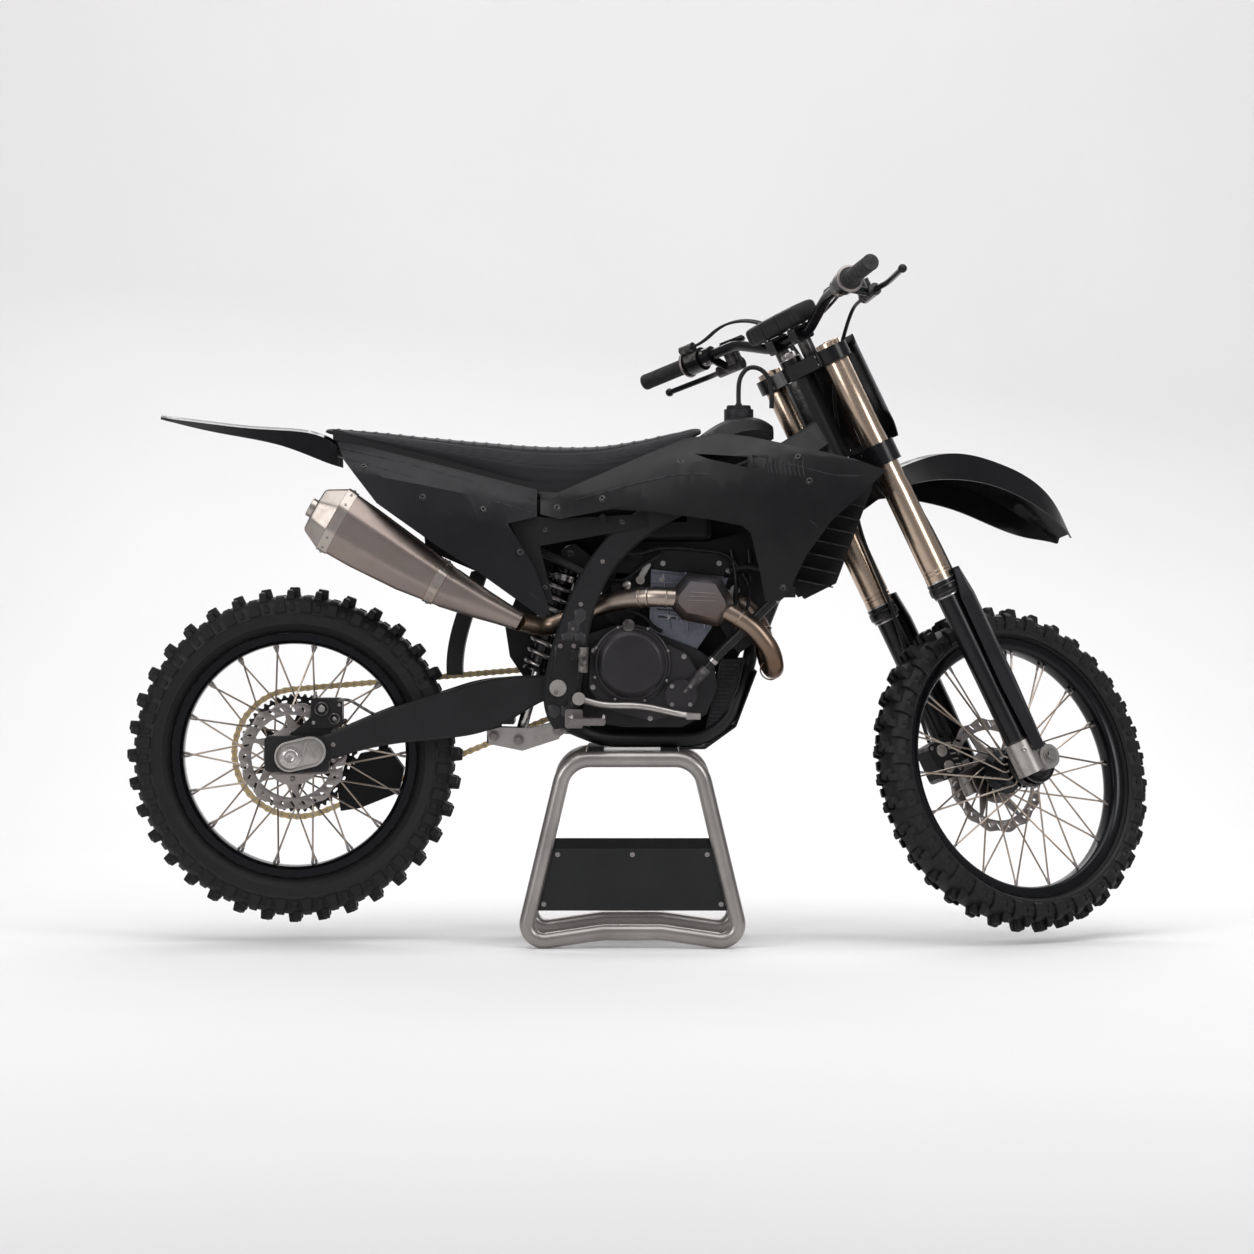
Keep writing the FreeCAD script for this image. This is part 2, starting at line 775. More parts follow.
def clutch_cover():
    """Right-hand crankcase cover with the round clutch cover on it."""
    outer = -CASE_HALF_W - COVER_T
    outline = [(-88, 520), (-60, 480), (40, 452), (120, 478), (138, 540)]
    outline += [(110, 590), (40, 622), (-40, 636), (-84, 600)]
    plate = slab(outline, outer, -CASE_HALF_W)
    bowl = rod((CLUTCH.x, outer - 14, CLUTCH.z), (CLUTCH.x, -CASE_HALF_W, CLUTCH.z), 73)
    cap = rod((CLUTCH.x, outer - 20, CLUTCH.z), (CLUTCH.x, outer, CLUTCH.z), 57)
    return fused([plate, bowl, cap])


def water_pump():
    """Pump housing low on the right-hand cover, with its hose stub."""
    outer = -CASE_HALF_W - COVER_T
    body = rod((98, outer - 22, 506), (98, outer, 506), 32)
    return fused([body, rod((104, outer - 12, 512), (150, outer - 12, 560), 11)])


def ignition_cover():
    """Left-hand cover over the generator."""
    y = CASE_HALF_W
    bowl = rod((CRANK.x, y, CRANK.z), (CRANK.x, y + 34, CRANK.z), 66)
    rim_part = rod((CRANK.x, y, CRANK.z), (CRANK.x, y + 16, CRANK.z), 74)
    return fused([bowl, rim_part])


def sprocket_cover():
    """Guard over the small sprocket on the left."""
    x, z = FRONT_SPROCKET.x, FRONT_SPROCKET.z
    outline = [(-16, -63), (76, -63), (76, -47), (30, -36), (30, 42)]
    outline += [(76, 52), (76, 67), (0, 67), (-18, 40)]
    plate = slab([(x + dx, z + dz) for dx, dz in outline], SPROCKET_COVER_Y, SPROCKET_COVER_Y + 5)
    posts = [
        rod((x + 68, CASE_HALF_W + SEAT_GAP, z + dz), (x + 68, SPROCKET_COVER_Y + 2, z + dz), 5)
        for dz in (-55, 59)
    ]
    return fused([plate] + posts)


def starter():
    """Starter motor behind the cylinder."""
    return rod((-30, -40, 675.2), (-30, 48, 675.2), 27)


def front_sprocket():
    r = (FRONT_PITCH_R - CHAIN_HALF_H) * math.cos(math.pi / FRONT_TEETH) - SEAT_GAP
    half, out = V(0, 3, 0), V(0, 8, 0)
    disc = rod(FRONT_SPROCKET - half, FRONT_SPROCKET + half, r)
    inward = V(0, CHAIN_HALF_W + 3 - SEAT_GAP, 0)
    shaft = rod(FRONT_SPROCKET - inward, FRONT_SPROCKET + out, 12)
    return fused([disc, shaft])


# Exhaust

HEADER_R = 19.5
MUFFLER_Y = -126.0


def header_points():
    return [
        V(150, -18, 706), V(232, -40, 690), V(262, -60, 640), V(274, -84, 570),
        V(288, -124, 552), V(280, -140, 596), V(244, -142, 644), V(190, -142, 678),
        V(120, -142, 700), V(40, -142, 705), V(-14, -106, 700), V(-62, -75, 689),
        V(-130, -72, 660), V(-180, -80, 642), V(-228, MUFFLER_Y, 656),
    ]


def header():
    """Pipe from the front of the head round to the silencer."""
    return curved_pipe(header_points(), HEADER_R).cut(cylinder_block()).cut(muffler())


def resonance_box():
    """Flat chamber that the header passes through."""
    outline = [(110, 754), (176, 746), (200, 706), (206, 682), (172, 644), (100, 658), (74, 688), (77, 715)]
    body = slab(outline, -172, -112)
    body = body.makeFillet(9, body.Edges)
    return body.cut(curved_pipe(header_points(), HEADER_R + SEAT_GAP))


def muffler_section(x, z, half_h, half_w):
    slope = math.atan2(-0.56, 1)
    along = V(math.cos(slope), 0, math.sin(slope))
    up = V(-along.z, 0, along.x)
    ring = []
    for n in range(12):
        a = 2 * math.pi * n / 12
        ring.append(V(x, MUFFLER_Y, z) + up * (half_h * math.sin(a)) + V(0, half_w * math.cos(a), 0))
    curve = Part.BSplineCurve()
    curve.interpolate(ring, PeriodicFlag=True)
    return Part.Wire(curve.toShape())


def muffler():
    return loft([
        muffler_section(-226, 655, HEADER_R, HEADER_R),
        muffler_section(-300, 688, 31, 30),
        muffler_section(-369, 722, 43, 38),
        muffler_section(-450, 768, 56, 45),
        muffler_section(-540, 823, 66, 48),
        muffler_section(-596, 859, 69, 48),
    ])


def muffler_end_cap():
    cap = loft([
        muffler_section(-596.3, 859.2, 69, 48),
        muffler_section(-632, 877, 60, 44),
        muffler_section(-656, 884, 34, 32),
    ])
    return cap.cut(rod((-700, MUFFLER_Y, 908), (-620, MUFFLER_Y, 864), 20))


# Cooling

GUARD_WALL_Y = 146.0

def radiator(side):
    core = box(292, 322, 80, 186, 712, 938)
    tanks = fused([box(288, 326, 78, 188, 928, 949), box(288, 326, 78, 188, 704, 724)])
    body = fused([core, tanks])
    return body if side > 0 else mirrored(body)


def radiator_guard(side):
    """Louvred frame between the radiator and the shroud's front edge."""
    outline = [(483, 930), (409, 732), (345, 700), (328, 720), (328, 944), (440, 952)]
    wall = slab(outline, GUARD_WALL_Y, GUARD_WALL_Y + 3)
    slats = []
    for n in range(7):
        z = 738 + 29 * n
        x1 = 400 + (z - 732) * 0.37
        slat = box(330, x1, 148, 192, z, z + 3)
        slat.rotate(V(330, 0, z), V(0, 1, 0), 12)
        slats.append(slat)
    foot = box(320, 334, 140, 149, 760, 780)
    body = fused([wall, foot] + slats)
    body = body.cut(radiator(1))
    return body if side > 0 else mirrored(body)


# Bodywork

PLASTIC_T = 3.5
SIDE_COVER_Y = 130.0
AIRBOX_HALF_W = 51.2
TANK_LOBE_HALF_W = 56.0
FLAP_HALF_W = 50.0


def shroud_left():
    outline = [
        (-185, 917), (-150, 914), (-69, 950), (23, 990), (106, 1024), (178, 1034), (236, 1027), (386, 994),
        (444, 980), (505, 958), (478, 931), (396, 857), (347, 789), (323, 740), (314, 716),
        (292, 697), (265, 697), (253, 760), (241, 808), (236, 832), (219, 847), (149, 861),
        (33, 876), (-40, 881), (-146, 861), (-185, 871),
    ]
    body = skin([
        (-195, [(100, 950), (119, 925), (130, 895), (133, 870), (132, 840), (128, 680)]),
        (-60, [(98, 990), (120, 962), (149, 925), (162, 880), (160, 840), (152, 680)]),
        (100, [(92, 1052), (116, 1014), (160, 970), (187, 910), (187, 850), (178, 680)]),
        (236, [(104, 1070), (130, 1040), (186, 990), (213, 910), (213, 820), (192, 680)]),
        (370, [(140, 1058), (168, 1035), (207, 985), (225, 920), (223, 840), (198, 680)]),
        (515, [(170, 1035), (192, 1010), (216, 970), (227, 930), (223, 860), (200, 680)]),
    ], PLASTIC_T)
    vents = [
        slab([(125, 992), (230, 985), (230, 964), (150, 982)], 60, 300),
        slab([(240, 988), (268, 982), (264, 962), (240, 962)], 60, 300),
    ]
    body = body.common(slab(outline, 60, 300)).cut(group(vents))
    rear_post = rod((-60, SIDE_COVER_Y + 3 + SEAT_GAP, 864), (-60, 160, 864), 7)
    front_post = rod((350, GUARD_WALL_Y + 3 + SEAT_GAP, 935), (350, 217, 935), 7)
    return fused([body, rear_post, front_post])


def side_panel_left():
    outline = [
        (-581, 980), (-596, 1018), (-521, 1004), (-426, 980), (-300, 948), (-192, 920),
        (-192, 866), (-250, 852), (-197, 764), (-166, 680), (-178, 660),
        (-312, 757), (-397, 811), (-513, 893),
    ]
    body = skin([
        (-610, [(97, 1046), (112, 1000), (132, 960), (142, 900), (142, 640)]),
        (-450, [(97, 1012), (118, 978), (160, 935), (174, 870), (174, 640)]),
        (-300, [(99, 976), (124, 940), (158, 905), (174, 850), (174, 640)]),
        (-150, [(100, 944), (118, 915), (126, 880), (144, 800), (140, 640)]),
    ], PLASTIC_T)
    body = body.common(slab(outline, 60, 300))
    front_post = rod((-225, SIDE_COVER_Y + 3 + SEAT_GAP, 795), (-225, 169, 795), 7)
    rear_tab = box(-566, -546, 66.3, 126, 966, 974)
    return fused([body, front_post, rear_tab])


def side_cover_left():
    """Inner cover between the side panel and the frame."""
    outline = [(-270, 872), (-143, 862), (30, 872), (30, 846)]
    outline += [(-187, 807), (-160, 700), (-168, 690), (-250, 860)]
    return slab(outline, SIDE_COVER_Y, SIDE_COVER_Y + 3)


def airbox():
    """Box under the seat, with the splash guard that hangs from it ahead of the tyre."""
    outline = [(-430, 905), (-212, 862), (-208, 756), (-300, 748), (-420, 800)]
    front_x = REAR_AXLE.x + REAR_TYRE_R
    stations = [(545, 0, -28), (616, 7, -23), (680, 26, -5), (756, 52, 22)]
    wires = []
    for z, front, edge in stations:
        outer = [V(front_x + edge, -FLAP_HALF_W, z), V(front_x + front, -0.7 * FLAP_HALF_W, z)]
        outer += [V(p.x, -p.y, z) for p in outer[::-1]]
        inner = [V(p.x - PLASTIC_T, p.y * 0.94, z) for p in outer]
        wires.append(section(outer + inner[::-1]))
    return fused([slab(outline, -AIRBOX_HALF_W, AIRBOX_HALF_W), loft(wires)])


def fuel_tank():
    """Upper part over the spars and a narrower part between them."""
    upper = loft([
        hull_section(60, 70, 78, 50, 962, 984),
        hull_section(139, 90, 96, 60, 966, 1032),
        hull_section(195, 100, 106, 70, 1000, 1064),
        hull_section(250, 96, 100, 66, 1020, 1068),
        hull_section(286, 70, 74, 50, 1024, 1050),
    ])
    lower = box(60, 236, -56, 56, TANK_REST_Z, 1015)
    lobe = box(-60, 160, -TANK_LOBE_HALF_W, TANK_LOBE_HALF_W, 818, TANK_REST_Z + 10)
    lobe = lobe.makeFillet(14, lobe.Edges).cut(box(30, 110, -80, 80, TANK_REST_Z - 24, TANK_REST_Z))
    cut_off = slab([(0, 960), (60, 966), (139, 1010), (195, 1030), (195, 1100), (0, 1100)], -70, 70)
    return fused([upper, lower.cut(cut_off), lobe])


def fuel_cap():
    base = rod((217, 0, 1060), (217, 0, 1086), 30)
    return base.fuse(rod((217, 0, 1080), (217, 0, 1094), 24)).removeSplitter().cut(fuel_tank())


def seat():
    return loft([
        hull_section(-622, 70, 78, 58, 1037, 1046),
        hull_section(-521, 74, 82, 60, 1010, 1039),
        hull_section(-426, 76, 84, 58, SEAT_BASE_Z, 1029),
        hull_section(-300, 78, 84, 54, 950, 1018),
        hull_section(-187, 84, 84, 52, 925, 1010),
        hull_section(-69, 84, 80, 50, 940, 1010),
        hull_section(24, 76, 72, 46, 980, 1024),
        hull_section(97, 60, 58, 38, 1006, 1040),
        hull_section(140, 40, 42, 26, 1036, 1049),
    ])


def fender_shell(stations, thickness):
    """A thin arched strip through (x, half width, edge z, top z) stations."""
    wires = []
    for x, half, edge, top in stations:
        outer = [(x, -half, edge), (x, -0.92 * half, top - 6), (x, -0.6 * half, top), (x, 0.6 * half, top),
                 (x, 0.92 * half, top - 6), (x, half, edge)]
        t = thickness
        inner = [(x, half - t, edge), (x, 0.92 * half - t, top - 6 - t), (x, 0.6 * half, top - t),
                 (x, -0.6 * half, top - t), (x, -0.92 * half + t, top - 6 - t), (x, -half + t, edge)]
        wires.append(section(outer + inner))
    return loft(wires)


def rear_fender():
    return fender_shell([
        (-596, 88, 968, 1013),
        (-640, 88, 984, 1038),
        (-724, 82, 1014, 1048),
        (-820, 74, 1034, 1056),
        (-900, 66, 1050, 1066),
        (-958, 46, 1064, 1074),
    ], PLASTIC_T)


# Rear suspension

ARM_IN = 88.0
ARM_OUT = 122.0
CHAIN_TO_ARM = 1.5
BRACKET_T = 6.0


LINK_PINS = [V(-282, 0, 420), V(-232, 0, 412), V(-152, 0, 432)]
LINK_PIN_R = 8.0


def swingarm():
    """Two tapering beams joined by a cross piece ahead of the tyre."""
    sides = []
    px, pz, ax, az = PIVOT.x, PIVOT.z, REAR_AXLE.x, REAR_AXLE.z
    for side, rise in ((1, 0), (-1, 8)):
        arm = beam([
            (px + 4, side * 79, pz, 22, 13),
            (px - 50, side * 79, pz - 9 + rise / 2, 26 + rise / 2, 13),
            (px - 157, side * 84, pz - 39, 50, 16),
            (px - 230, side * 90, pz - 57, 46, 16),
            (ax + 227, side * 97, az + 67, 38, 16),
            (ax + 129, side * 104, az + 39, 28, 16),
            (ax + 65, side * 104, az + 16, 27, 15),
        ])
        end = box(ax - 53, ax + 77, ARM_IN, ARM_OUT, az - 29, az + 43)
        end = end.makeFillet(10, [e for e in end.Edges if abs(e.tangentAt(0).y) > 0.9])
        sides.append(arm)
        sides.append(end if side > 0 else mirrored(end))
    cross = box(px - ARM_CROSS_REACH, px - 90, -82, 82, pz - 75, pz - 1)
    boss = rod((PIVOT.x, -94, PIVOT.z), (PIVOT.x, 94, PIVOT.z), 22)
    pin = LINK_PINS[0]
    lugs = [box(pin.x - 15, pin.x + 15, s * 13 - 6, s * 13 + 6, pin.z - 15, 450) for s in (-1, 1)]
    body = fused(sides + [cross, boss] + lugs)
    neck = CASE_NECK_HALF_W + SEAT_GAP
    body = body.cut(rod((PIVOT.x, -neck, PIVOT.z), (PIVOT.x, neck, PIVOT.z), 40)).cut(pivot_hole())
    body = body.cut(rod(LINK_PINS[0] + V(0, -50, 0), LINK_PINS[0] + V(0, 50, 0), LINK_PIN_R + RUN_FIT))
    across = V(0, 200, 0)
    body = body.cut(rod(REAR_AXLE - across, REAR_AXLE + across, REAR_AXLE_R + RUN_FIT))
    return body.cut(chain_room(CHAIN_TO_ARM))


def pivot_bolt():
    shaft = rod((PIVOT.x, -124, PIVOT.z), (PIVOT.x, 124, PIVOT.z), PIVOT_BOLT_R)
    ends = [rod((PIVOT.x, s * 121.4, PIVOT.z), (PIVOT.x, s * 129, PIVOT.z), 17) for s in (-1, 1)]
    return fused([shaft] + ends)


def axle_blocks():
    """Adjuster blocks outside the swingarm ends."""
    out = []
    for side in (-1, 1):
        block = box(
            REAR_AXLE.x - 33, REAR_AXLE.x + 73, ARM_OUT + SEAT_GAP, ARM_OUT + 9,
            REAR_AXLE.z - 29, REAR_AXLE.z + 45)
        block = block.makeFillet(16, [e for e in block.Edges if abs(e.tangentAt(0).y) > 0.9])
        hole = rod((REAR_AXLE.x, 0, REAR_AXLE.z), (REAR_AXLE.x, 200, REAR_AXLE.z), REAR_AXLE_R + RUN_FIT)
        block = block.cut(hole)
        out.append(block if side > 0 else mirrored(block))
    return group(out)


def rear_axle():
    """Hollow axle with its nut, head and wheel spacers."""
    reach = ARM_OUT + 9.3
    x, z = REAR_AXLE.x, REAR_AXLE.z
    shaft = rod((x, -reach - 20, z), (x, reach + 6, z), REAR_AXLE_R)
    nut = rod((x, -reach - 16, z), (x, -reach, z), 20)
    head = rod((x, reach, z), (x, reach + 8, z), 20)
    left_end, right_end = ARM_IN - SEAT_GAP, ARM_IN - BRACKET_T - 2 * SEAT_GAP
    spacers = [
        rod((x, REAR_HUB_HALF + 1, z), (x, left_end, z), 20),
        rod((x, -REAR_HUB_HALF - 1, z), (x, -right_end, z), 20),
    ]
    body = fused([shaft, nut, head] + spacers)
    return body.cut(rod((x, -300, z), (x, 300, z), REAR_AXLE_BORE_R))


def shock():
    """Damper with its spring as one closed body, leaning between the uprights."""
    top, low = SHOCK_TOP, LINK_PINS[1]
    way = (low - top).normalize()
    body = rod(top, low, 11)
    spring = rod(top + way * 55, top + way * 235, 34)
    reservoir = rod(top + V(-14, 48, -28), top + V(-52, 48, -160), 22)
    neck = rod(top + V(-6, 0, -40), top + V(-16, 48, -42), 10)
    eye = rod(top + V(0, -20, 0), top + V(0, 20, 0), 18)
    low_eye = rod(low + V(0, -18, 0), low + V(0, 18, 0), 15)
    pin = rod(top + V(0, -30, 0), top + V(0, 30, 0), SHOCK_PIN_R)
    shape = fused([body, spring, reservoir, neck, eye, low_eye, pin])
    return shape.cut(rod(low + V(0, -40, 0), low + V(0, 40, 0), LINK_PIN_R + RUN_FIT))


def linkage():
    """Rocker plates with their pins, and the link to the bar on the cradle."""
    outline = [(-297, 430), (-292, 404), (-224, 390), (-150, 414)]
    outline += [(-138, 436), (-158, 448), (-205, 436), (-270, 438)]
    rocker = slab(outline, -34, -19.5)
    pins = [rod(p + V(0, -38, 0), p + V(0, 38, 0), LINK_PIN_R) for p in LINK_PINS]
    ear = rod(LINK_BAR + V(0, -12, 0), LINK_BAR + V(0, 12, 0), LINK_BAR_R + 5)
    eye = rod(LINK_PINS[2] + V(0, -12, 0), LINK_PINS[2] + V(0, 12, 0), LINK_PIN_R + 6)
    pull = rod(LINK_BAR, LINK_PINS[2], 8)
    body = fused([rocker, mirrored(rocker), pull, ear, eye] + pins)
    return body.cut(rod(LINK_BAR + V(0, -40, 0), LINK_BAR + V(0, 40, 0), LINK_BAR_R + RUN_FIT))


def rear_caliper():
    """Caliper over the front edge of the rear disc, on its bracket."""
    x, z = REAR_AXLE.x, REAR_AXLE.z
    body = box(x + 39, x + 103, -100, -52, z + 59, z + 119)
    body = body.makeFillet(9, [e for e in body.Edges if abs(e.tangentAt(0).y) > 0.9])
    slot = box(x - 11, x + 149, -REAR_HUB_HALF - DISC_T - 5, -REAR_HUB_HALF + 5, z - 1, z + 105)
    outline = [(-26, -31), (29, -31), (89, 71), (49, 89), (-11, 39)]
    arm = slab([(x + dx, z + dz) for dx, dz in outline], -ARM_IN + SEAT_GAP, -ARM_IN + SEAT_GAP + BRACKET_T)
    body = body.cut(slot).cut(box(x - 11, x + 189, -ARM_OUT - 20, -ARM_IN + 7.5, z - 1, z + 57))
    body = body.fuse(arm).removeSplitter()
    return body.cut(rod((x, -200, z), (x, 0, z), REAR_AXLE_R + RUN_FIT))


def chain_guide():
    """Block that guides the lower run ahead of the sprocket."""
    x, z = REAR_AXLE.x, REAR_AXLE.z
    outline = [(129, -1), (189, 11), (219, -31), (209, -81), (129, -113), (89, -119), (83, -81)]
    outer = slab([(x + dx, z + dz) for dx, dz in outline], CHAIN_Y - 21, CHAIN_Y + 23)
    half = CHAIN_HALF_W + 2
    channel = box(x - 11, x + 289, CHAIN_Y - half, CHAIN_Y + half, z - 181, z - 9)
    lug_part = box(x + 165, x + 185, CHAIN_Y + 13, CHAIN_Y + 23, z - 1, z + 29)
    seat_on = moved(swingarm(), (0, 0, -SEAT_GAP))
    return fused([outer, lug_part]).cut(channel).cut(seat_on)


# Controls on the frame

def footpeg_right():
    plate = box(-126, -54, -196, -124, 448, 462)
    mount = box(-136, -100, -130, -121.6, 440, 478)
    return fused([plate, mount])


def brake_pedal():
    """Lever along the right side to a toe tip."""
    arm = curved_pipe([
        (-108, -136, 500), (-60, -140, 486), (20, -146, 486), (90, -150, 470), (120, -160, 466),
    ], 7)
    hub_part = rod((-108, -121.6, 500), (-108, -146, 500), 13)
    tip = box(108, 136, -186, -150, 460, 472)
    return fused([arm, hub_part, tip])


def gear_lever():
    arm = curved_pipe([(0, 112, 460), (66, 122, 456), (132, 130, 462)], 6)
    hub_part = rod((0, CASE_HALF_W + SEAT_GAP, 460), (0, 118, 460), 9)
    tip = rod((132, 126, 462), (132, 160, 462), 8)
    return fused([arm, hub_part, tip])


def skid_plate():
    """Guard round the front of the cradle."""
    gap, t = SEAT_GAP + 0.7, 3.5
    near = [(97, 0, -1), (144.5, 0.3, -1), (198, 0.8, -0.62), (236, 0.94, -0.35)]
    base = [(97, CRADLE_Z), (142, CRADLE_Z), (196, 452), (236, 560)]
    inner, outer = [], []
    for (x, z), (_, nx, nz) in zip(base, near):
        inner.append((x + nx * (CRADLE_R + gap), z + nz * (CRADLE_R + gap)))
        outer.append((x + nx * (CRADLE_R + gap + t), z + nz * (CRADLE_R + gap + t)))
    return slab(inner + outer[::-1], -70, 70)


def rear_master():
    """Master cylinder and its guard plate behind the right peg."""
    cylinder_part = rod((-100, -140, 552), (-98, -140, 604), 10)
    plate = slab([(-150, 618), (-168, 500), (-140, 484), (-112, 520), (-106, 618)], -130, -126)
    bridge = box(-122, -94, -142, -126, 580, 596)
    boss = rod((-132, -122.4, 592), (-132, -127, 592), 8)
    body = fused([cylinder_part, plate, bridge, boss])
    return body.cut(rod((PIVOT.x, -200, PIVOT.z), (PIVOT.x, -100, PIVOT.z), 18))


# Steering assembly, in the steering frame

def lobed_plate(low, high, leg_r, stem_r):
    """A fork clamp: lobes round the legs and the stem, joined by webs."""
    leg_y = LEG_HALF_SPACING
    lobes = [
        rod((LEG_OFFSET, s * leg_y, low), (LEG_OFFSET, s * leg_y, high), leg_r + 9)
        for s in (-1, 1)
    ]
    centre = rod((0, 0, low), (0, 0, high), stem_r + 12)
    web = [
        V(LEG_OFFSET + 16, -leg_y, low), V(LEG_OFFSET + 12, 0, low), V(LEG_OFFSET + 16, leg_y, low),
        V(LEG_OFFSET - 18, leg_y, low), V(-24, 20, low), V(-24, -20, low), V(LEG_OFFSET - 18, -leg_y, low),
    ]
    bridge = Part.Face(section(web)).extrude(V(0, 0, high - low))
    body = fused(lobes + [centre, bridge])
    for s in (-1, 1):
        y = s * LEG_HALF_SPACING
        body = body.cut(rod((LEG_OFFSET, y, low - 1), (LEG_OFFSET, y, high + 1), leg_r + RUN_FIT))
    return body


def upper_clamp():
    body = lobed_plate(-UPPER_CLAMP_T, 0, UPPER_TUBE_R, STEM_R)
    body = body.cut(rod((0, 0, -UPPER_CLAMP_T - 1), (0, 0, 1), STEM_R + RUN_FIT))
    posts = [rod((BAR_X, s * 40, 0), (BAR_X, s * 40, BAR_Z - BAR_R - 4), 15) for s in (-1, 1)]
    return steered(fused([body] + posts))


def lower_clamp():
    """Lower clamp with the stem."""
    half = LOWER_CLAMP_T / 2
    low, high = LOWER_CLAMP_Z - half, LOWER_CLAMP_Z + half
    body = lobed_plate(low, high, LOWER_TUBE_R - 2, STEM_R + 4)
    stem = rod((0, 0, low), (0, 0, 12), STEM_R)
    nut = rod((0, 0, SEAT_GAP), (0, 0, 13), STEM_R + 6)
    return steered(fused([body, stem, nut]))


def outer_tubes():
    legs = []
    for s in (-1, 1):
        x, y = LEG_OFFSET, s * LEG_HALF_SPACING
        step = LOWER_CLAMP_Z + LOWER_CLAMP_T / 2 + 8
        top = rod((x, y, step), (x, y, 10), UPPER_TUBE_R)
        collar = cone((x, y, step), (x, y, step + 24), LOWER_TUBE_R - 2, UPPER_TUBE_R)
        middle = rod((x, y, LOWER_CLAMP_Z - 60), (x, y, step), LOWER_TUBE_R - 2)
        flare = cone((x, y, LOWER_CLAMP_Z - 80), (x, y, LOWER_CLAMP_Z - 60), LOWER_TUBE_R, LOWER_TUBE_R - 2)
        low = rod((x, y, OUTER_TUBE_END_Z), (x, y, LOWER_CLAMP_Z - 80), LOWER_TUBE_R)
        seal = rod((x, y, OUTER_TUBE_END_Z - 16), (x, y, OUTER_TUBE_END_Z), LOWER_TUBE_R + 3)
        leg = fused([top, collar, middle, flare, low, seal])
        bore = rod((x, y, OUTER_TUBE_END_Z - 20), (x, y, STANCHION_TOP_Z + 6), STANCHION_R + RUN_FIT)
        legs.append(leg.cut(bore))
    return steered(group(legs))


STANCHION_TOP_Z = -330.0
FOOT_TOP_Z = -886.0
FOOT_R = 29.0
HOSE_R = 4.0
CABLE_R = 3.0
GUARD_GAP = 2.0
GUARD_T = 3.0


def stanchions():
    x = LEG_OFFSET
    return steered(group([
        rod(
            (x, s * LEG_HALF_SPACING, FOOT_TOP_Z - 20), (x, s * LEG_HALF_SPACING, STANCHION_TOP_Z),
            STANCHION_R)
        for s in (-1, 1)
    ]))


def fork_feet():
    """Cast feet that hold the axle ahead of the legs."""
    feet = []
    x, lead = LEG_OFFSET, LEG_OFFSET + AXLE_LEAD
    for s in (-1, 1):
        y = s * LEG_HALF_SPACING
        socket = rod((x, y, FOOT_TOP_Z - 70), (x, y, FOOT_TOP_Z), FOOT_R)
        eye = rod((lead, y - 21, -AXLE_DROP), (lead, y + 21, -AXLE_DROP), 25)
        arm = box(x - 6, lead, y - 17, y + 17, -AXLE_DROP - 16, -AXLE_DROP + 24)
        foot = fused([socket, eye, arm])
        foot = foot.cut(rod((x, y, FOOT_TOP_Z - 20), (x, y, FOOT_TOP_Z + 1), STANCHION_R + RUN_FIT))
        foot = foot.cut(rod((lead, y - 40, -AXLE_DROP), (lead, y + 40, -AXLE_DROP), FRONT_AXLE_R + RUN_FIT))
        feet.append(foot)
    return steered(group(feet))


def front_axle():
    """Hollow axle with its wheel spacers."""
    x, z = LEG_OFFSET + AXLE_LEAD, -AXLE_DROP
    reach = LEG_HALF_SPACING + 21
    shaft = rod((x, -reach - 6, z), (x, reach + 4, z), FRONT_AXLE_R)
    spacers = [
        rod((x, s * (FRONT_HUB_HALF + 1), z), (x, s * (LEG_HALF_SPACING - 21 - SEAT_GAP), z), 20)
        for s in (-1, 1)
    ]
    body = fused([shaft] + spacers)
    return steered(body.cut(rod((x, -300, z), (x, 300, z), FRONT_AXLE_BORE_R)))


def fork_guards():
    """Moulded covers ahead of and outside the lower legs, each with a flat outer face."""
    guards = []
    bottom, top = FOOT_TOP_Z - 30, OUTER_TUBE_END_Z + 28
    for s in (-1, 1):
        def wall(z, reach, side_x):
            r = LOWER_TUBE_R + 3 + GUARD_GAP
            outer = [
                (side_x, r + 3), (26, r + 5), (reach - 7, 27),
                (reach, 6), (reach - 4, -16), (reach - 16, -26),
            ]
            inner = [(x - 1, y - GUARD_T) if y > 20 else (x - GUARD_T, y) for x, y in outer]
            inner[-1] = (outer[-1][0] - GUARD_T, outer[-1][1] + 2)
            at = LEG_OFFSET
            return section([V(at + x, s * (LEG_HALF_SPACING + y), z) for x, y in outer + inner[::-1]])

        walls = [wall(bottom, 46, 4), wall(bottom + 150, 52, -2), wall(top - 60, 52, 2), wall(top, 44, 16)]
        shell = loft(walls, True)
        y = s * LEG_HALF_SPACING
        x = LEG_OFFSET
        strap = box(x + FOOT_R + SEAT_GAP, x + 45, y - 6, y + 6, FOOT_TOP_Z - 26, FOOT_TOP_Z - 8)
        guards.append(shell.fuse(strap).removeSplitter())
    return steered(group(guards))


def bar_points():
    """Handlebar centre line, right end to left end."""
    half = [
        V(BAR_X, 70, BAR_Z),
        V(BAR_X, 165, BAR_Z + BAR_RISE * 0.72),
        V(BAR_X - BAR_SWEEP, BAR_HALF_WIDTH, BAR_Z + BAR_RISE),
    ]
    return [V(p.x, -p.y, p.z) for p in half[::-1]] + half


def handlebar():
    return steered(pipe(bar_points(), BAR_R, [90, 70, 70, 90]))


def bar_end_line(side):
    """Start and direction of the straight outer part of the bar."""
    points = bar_points()
    inner, outer = (points[-2], points[-1]) if side > 0 else (points[1], points[0])
    return outer, (inner - outer).normalize()


